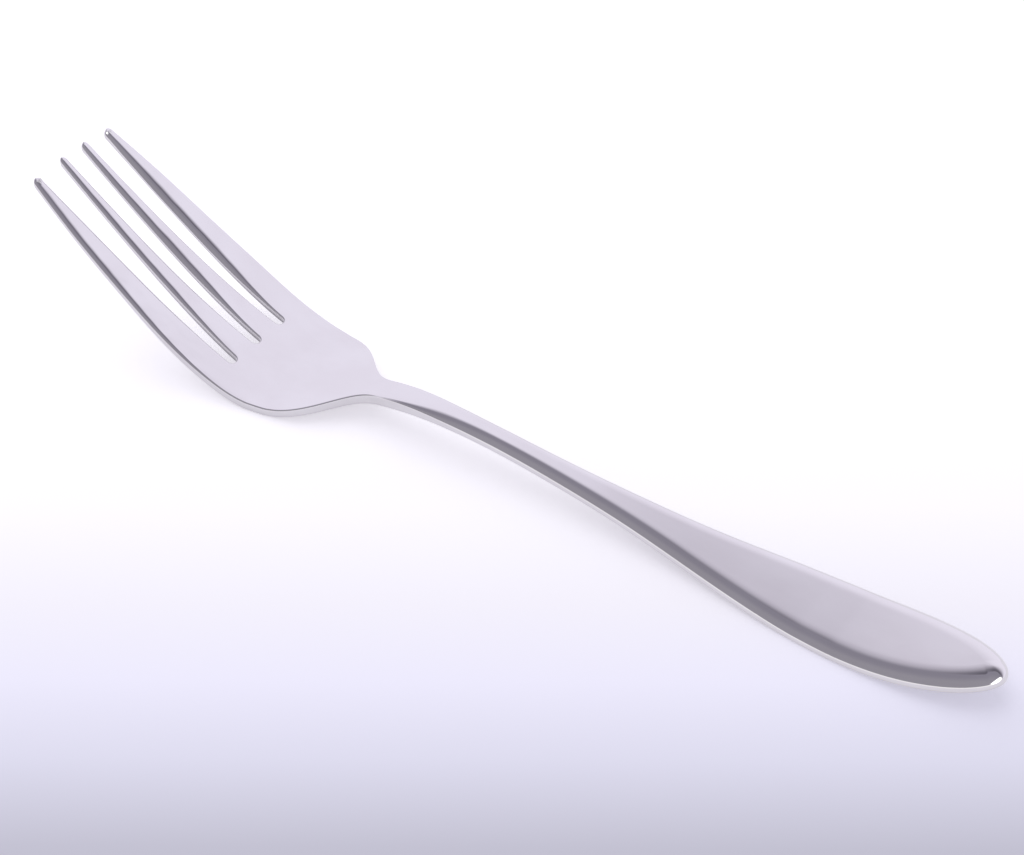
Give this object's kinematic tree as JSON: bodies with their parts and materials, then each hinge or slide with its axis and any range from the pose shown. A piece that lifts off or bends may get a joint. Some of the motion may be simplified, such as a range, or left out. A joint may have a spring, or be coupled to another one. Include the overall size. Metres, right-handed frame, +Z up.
{
  "type": "dinner fork",
  "caption": "Polished steel dinner fork with a long pointed-oval handle, an arched slender neck and a swept head whose tines taper to rounded points.",
  "frame": {"origin": "on the table, midway along the fork's length and width", "axes": "+X towards the handle's end, -X towards the tine tips, +Z up from the table, +Y across the fork, to the left when looking from the tine tips to the handle"},
  "size_m": [0.2, 0.0288, 0.0305],
  "materials": {
    "polished_steel": "mirror-polished stainless steel with faint wear from use"
  },
  "bodies": {
    "root": {"handle": "polished_steel", "neck": "polished_steel", "palm": "polished_steel", "tine_1": "polished_steel", "tine_2": "polished_steel", "tine_3": "polished_steel", "tine_4": "polished_steel"}
  },
  "joints": []
}
